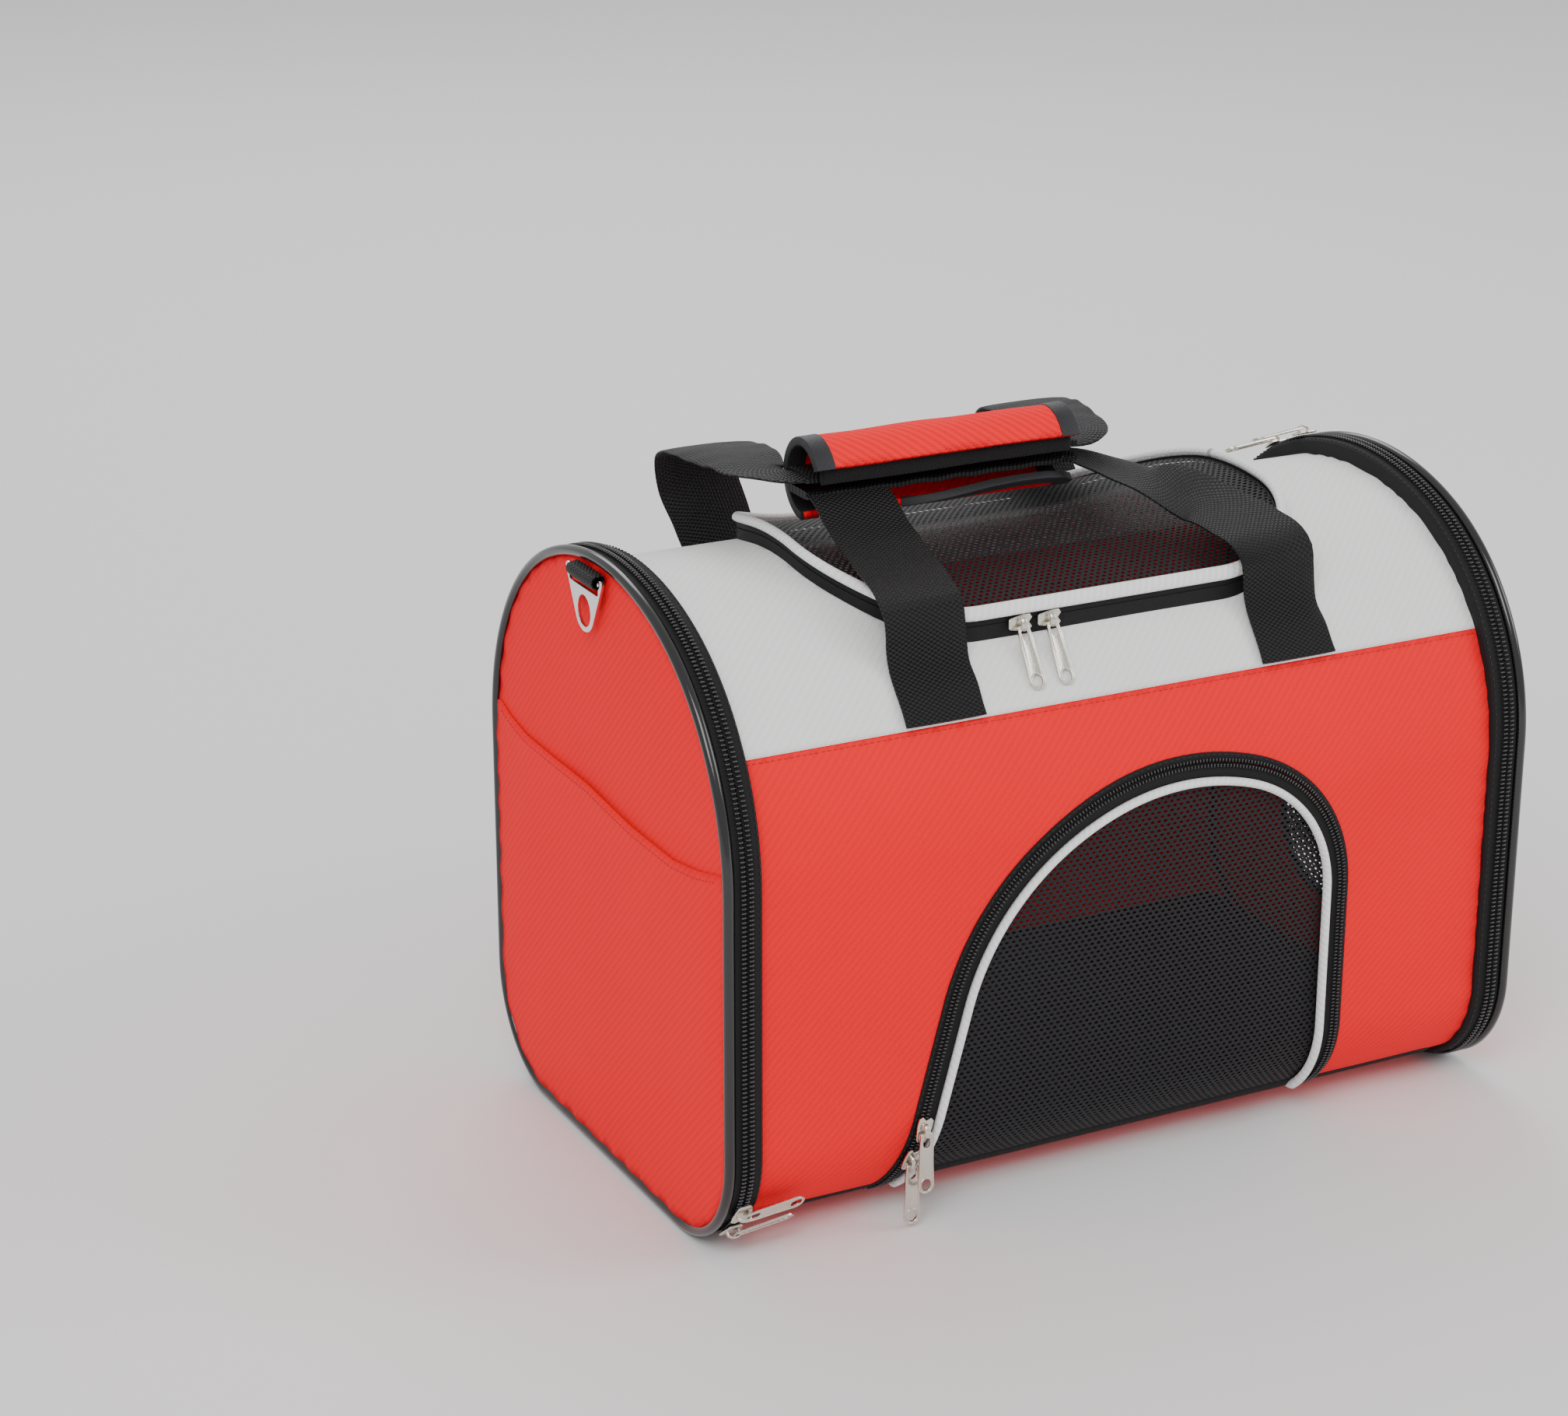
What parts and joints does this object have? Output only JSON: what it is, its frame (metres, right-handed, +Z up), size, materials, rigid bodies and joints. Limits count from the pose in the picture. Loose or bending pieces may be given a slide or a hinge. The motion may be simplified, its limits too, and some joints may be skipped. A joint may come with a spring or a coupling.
{
  "type": "pet transport carrier",
  "caption": "Soft arched pet carrier with zip-off ends, a mesh front door, a raised mesh roof hatch and webbing handles joined in a padded grip.",
  "frame": {"origin": "centre of the carrier's base, on the floor it stands on", "axes": "+X along the carrier to the end with the mesh window, -Y to the front with the mesh door, +Z up"},
  "size_m": [0.4346, 0.2579, 0.3381],
  "materials": {
    "shell_red": "bright red polyester twill",
    "roof_white": "off-white fine weave polyester",
    "webbing_black": "ribbed polypropylene webbing",
    "tape_black": "black zip tape",
    "coil_black": "black nylon zip coil",
    "piping_black": "glossy black covered piping",
    "piping_white": "white ribbed piping",
    "mesh_black": "black air mesh with oval holes",
    "board_grey": "stiff corrugated board",
    "pad_red": "soft quilted pad",
    "spring_steel": "flat spring wire",
    "nickel": "nickel-plated zip hardware",
    "ring_chrome": "chromed steel",
    "grip_red": "red twill with dark grey bound ends",
    "hook_black": "fuzzy hook-and-loop strip"
  },
  "bodies": {
    "shell": {"front_wall": "shell_red", "rear_wall": "shell_red", "roof_panel": "roof_white", "base_panel": "shell_red", "base_board": "board_grey", "floor_pad": "pad_red", "hinge_bindings": "tape_black", "left_body_tape": "tape_black", "right_body_tape": "tape_black", "end_body_coils": "coil_black", "end_hoops": "spring_steel", "front_body_tape": "tape_black", "front_body_coil": "coil_black", "roof_body_tape": "tape_black", "roof_body_coil": "coil_black", "rear_window_mesh": "mesh_black", "rear_window_piping": "piping_white"},
    "left_end_door": {"left_end_panel": "shell_red", "left_end_piping": "piping_black", "left_door_tape": "tape_black", "left_door_coil": "coil_black", "left_pocket": "shell_red", "left_ring_tab": "webbing_black"},
    "right_end_door": {"right_end_panel": "shell_red", "right_window_mesh": "mesh_black", "right_window_binding": "tape_black", "right_end_piping": "piping_black", "right_door_tape": "tape_black", "right_door_coil": "coil_black", "right_ring_tab": "webbing_black"},
    "left_d_ring": {"left_ring": "ring_chrome"},
    "right_d_ring": {"right_ring": "ring_chrome"},
    "front_door": {"front_door_mesh": "mesh_black", "front_door_piping": "piping_white", "front_door_tape": "tape_black", "front_door_coil": "coil_black"},
    "roof_hatch": {"roof_door_mesh": "mesh_black", "roof_door_piping": "piping_white", "roof_door_tape": "tape_black", "roof_door_coil": "coil_black"},
    "front_handle": {"front_strap": "webbing_black"},
    "rear_handle": {"rear_strap": "webbing_black", "grip_wrap": "grip_red", "grip_fastener": "hook_black"},
    "left_end_upper_zip": {"left_end_upper_slider": "nickel"},
    "left_end_upper_zip_pull": {"left_end_upper_pull": "nickel"},
    "left_end_lower_zip": {"left_end_lower_slider": "nickel"},
    "left_end_lower_zip_pull": {"left_end_lower_pull": "nickel"},
    "right_end_front_zip": {"right_end_front_slider": "nickel"},
    "right_end_front_zip_pull": {"right_end_front_pull": "nickel"},
    "right_end_rear_zip": {"right_end_rear_slider": "nickel"},
    "right_end_rear_zip_pull": {"right_end_rear_pull": "nickel"},
    "front_upper_zip": {"front_upper_slider": "nickel"},
    "front_upper_zip_pull": {"front_upper_pull": "nickel"},
    "front_lower_zip": {"front_lower_slider": "nickel"},
    "front_lower_zip_pull": {"front_lower_pull": "nickel"},
    "roof_left_zip": {"roof_left_slider": "nickel"},
    "roof_left_zip_pull": {"roof_left_pull": "nickel"},
    "roof_right_zip": {"roof_right_slider": "nickel"},
    "roof_right_zip_pull": {"roof_right_pull": "nickel"}
  },
  "joints": [
    {"name": "left_end_unzips", "type": "hinge", "parent": "shell", "child": "left_end_door", "pos_m": [-0.2095, 0, 0.0025], "axis": [0, -1, 0], "range_deg": [0, 85]},
    {"name": "right_end_unzips", "type": "hinge", "parent": "shell", "child": "right_end_door", "pos_m": [0.2095, 0, 0.0025], "axis": [0, 1, 0], "range_deg": [0, 85]},
    {"name": "front_door_unzips", "type": "hinge", "parent": "shell", "child": "front_door", "pos_m": [0, -0.092, 0.00859], "axis": [1, 0, 0], "range_deg": [0, 45]},
    {"name": "roof_hatch_unzips", "type": "hinge", "parent": "shell", "child": "roof_hatch", "pos_m": [0, 0.0833, 0.2645], "axis": [-1, 0, 0], "range_deg": [0, 80]},
    {"name": "front_handle_falls", "type": "hinge", "parent": "shell", "child": "front_handle", "pos_m": [0, -0.10645, 0.2334], "axis": [1, 0, 0], "range_deg": [0, 177]},
    {"name": "rear_handle_falls", "type": "hinge", "parent": "shell", "child": "rear_handle", "pos_m": [0, 0.10645, 0.2334], "axis": [-1, 0, 0], "range_deg": [0, 145]},
    {"name": "left_ring_swings", "type": "hinge", "parent": "left_end_door", "child": "left_d_ring", "pos_m": [-0.2139, 0.008, 0.2852], "axis": [0, 1, 0], "range_deg": [0, 150]},
    {"name": "right_ring_swings", "type": "hinge", "parent": "right_end_door", "child": "right_d_ring", "pos_m": [0.2139, 0.008, 0.2852], "axis": [0, -1, 0], "range_deg": [0, 150]},
    {"name": "left_end_upper_zip_runs", "type": "hinge", "parent": "shell", "child": "left_end_upper_zip", "pos_m": [0, -0.0736, 0.054], "axis": [-1, 0, 0], "range_deg": [0, 31]},
    {"name": "left_end_lower_zip_runs", "type": "hinge", "parent": "shell", "child": "left_end_lower_zip", "pos_m": [0, -0.0736, 0.054], "axis": [1, 0, 0], "range_deg": [0, 14]},
    {"name": "right_end_front_zip_runs", "type": "hinge", "parent": "shell", "child": "right_end_front_zip", "pos_m": [0, 0, 0.1506], "axis": [1, 0, 0], "range_deg": [0, 45]},
    {"name": "right_end_rear_zip_runs", "type": "hinge", "parent": "shell", "child": "right_end_rear_zip", "pos_m": [0, 0.0126, 0.17783], "axis": [-1, 0, 0], "range_deg": [0, 58]},
    {"name": "front_upper_zip_runs", "type": "slide", "parent": "front_door", "child": "front_upper_zip", "axis": [0.2605, 0, 0.9655], "range_m": [0, 0.06]},
    {"name": "front_lower_zip_runs", "type": "slide", "parent": "front_door", "child": "front_lower_zip", "axis": [0.2605, -0.3836, 0.886], "range_m": [0, 0.0015]},
    {"name": "roof_left_zip_runs", "type": "slide", "parent": "roof_hatch", "child": "roof_left_zip", "axis": [-1, 0, 0], "range_m": [0, 0.014]},
    {"name": "roof_right_zip_runs", "type": "slide", "parent": "roof_hatch", "child": "roof_right_zip", "axis": [1, 0, 0], "range_m": [0, 0.087]},
    {"name": "left_end_upper_pull_lifts", "type": "hinge", "parent": "left_end_upper_zip", "child": "left_end_upper_zip_pull", "pos_m": [-0.1996, -0.1228, 0.02444], "axis": [0, 0.515, -0.8572], "range_deg": [0, 150]},
    {"name": "left_end_lower_pull_lifts", "type": "hinge", "parent": "left_end_lower_zip", "child": "left_end_lower_zip_pull", "pos_m": [-0.1996, -0.11201, 0.01134], "axis": [0, 0.7431, -0.6691], "range_deg": [0, 150]},
    {"name": "right_end_front_pull_lifts", "type": "hinge", "parent": "right_end_front_zip", "child": "right_end_front_zip_pull", "pos_m": [0.1996, 0.05124, 0.28987], "axis": [0, 0.9385, -0.3453], "range_deg": [0, 170]},
    {"name": "right_end_rear_pull_lifts", "type": "hinge", "parent": "right_end_rear_zip", "child": "right_end_rear_zip_pull", "pos_m": [0.1996, 0.07534, 0.27824], "axis": [0, 0.848, -0.5299], "range_deg": [0, 170]},
    {"name": "front_upper_pull_lifts", "type": "hinge", "parent": "front_upper_zip", "child": "front_upper_zip_pull", "pos_m": [-0.11331, -0.1286, 0.0475], "axis": [-1, 0, 0], "range_deg": [0, 150]},
    {"name": "front_lower_pull_lifts", "type": "hinge", "parent": "front_lower_zip", "child": "front_lower_zip_pull", "pos_m": [-0.11749, -0.12348, 0.03077], "axis": [-1, 0, 0], "range_deg": [0, 10]},
    {"name": "roof_left_pull_lifts", "type": "hinge", "parent": "roof_left_zip", "child": "roof_left_zip_pull", "pos_m": [-0.044, -0.0864, 0.263], "axis": [-1, 0, 0], "range_deg": [0, 140]},
    {"name": "roof_right_pull_lifts", "type": "hinge", "parent": "roof_right_zip", "child": "roof_right_zip_pull", "pos_m": [-0.029, -0.0864, 0.263], "axis": [-1, 0, 0], "range_deg": [0, 140]}
  ],
  "couplings": [
    {"joint": "front_handle_falls", "follows": "roof_hatch_unzips", "ratio": 2.2},
    {"joint": "rear_handle_falls", "follows": "roof_hatch_unzips", "ratio": 1.8}
  ]
}
